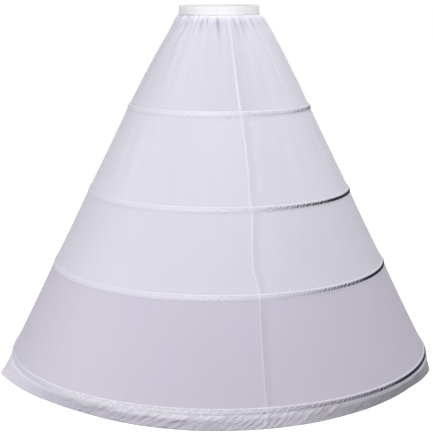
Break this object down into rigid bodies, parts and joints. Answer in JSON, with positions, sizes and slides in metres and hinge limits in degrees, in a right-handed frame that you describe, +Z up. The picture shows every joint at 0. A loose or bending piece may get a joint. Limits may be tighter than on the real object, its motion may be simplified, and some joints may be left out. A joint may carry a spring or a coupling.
{
  "type": "hoop petticoat",
  "caption": "A-line hoop petticoat: white cloth tiers held out as a cone by steel hoops in sewn casings, gathered into an elastic waistband.",
  "frame": {"origin": "centre of the hem's circle, on the floor", "axes": "+Z up the skirt's axis to the waist; -Y is the front; +X is to the right of someone who faces the front"},
  "size_m": [1.0802, 1.0804, 0.905],
  "materials": {
    "skirt_cloth": "soft white taffeta",
    "casing_cloth": "white taffeta strip, sewn along both edges",
    "band_cloth": "white cloth, shirred over elastic",
    "elastic": "woven white elastic",
    "hoop_strip": "white coating on spring steel",
    "ferrule": "plain crimped steel"
  },
  "bodies": {
    "root": {"waistband": "band_cloth", "waist_elastic": "elastic", "tier_1_left": "skirt_cloth", "tier_1_right": "skirt_cloth", "tier_2_left": "skirt_cloth", "tier_2_right": "skirt_cloth", "tier_3_left": "skirt_cloth", "tier_3_right": "skirt_cloth", "tier_4_left": "skirt_cloth", "tier_4_right": "skirt_cloth", "hem_band_left": "skirt_cloth", "hem_band_right": "skirt_cloth", "casing_1_left": "casing_cloth", "casing_1_right": "casing_cloth", "casing_2_left": "casing_cloth", "casing_2_right": "casing_cloth", "casing_3_left": "casing_cloth", "casing_3_right": "casing_cloth", "casing_4_left": "casing_cloth", "casing_4_right": "casing_cloth", "hoop_1": "hoop_strip", "hoop_2": "hoop_strip", "hoop_3": "hoop_strip", "hoop_4": "hoop_strip", "ferrule_1": "ferrule", "ferrule_2": "ferrule", "ferrule_3": "ferrule", "ferrule_4": "ferrule"}
  },
  "joints": []
}
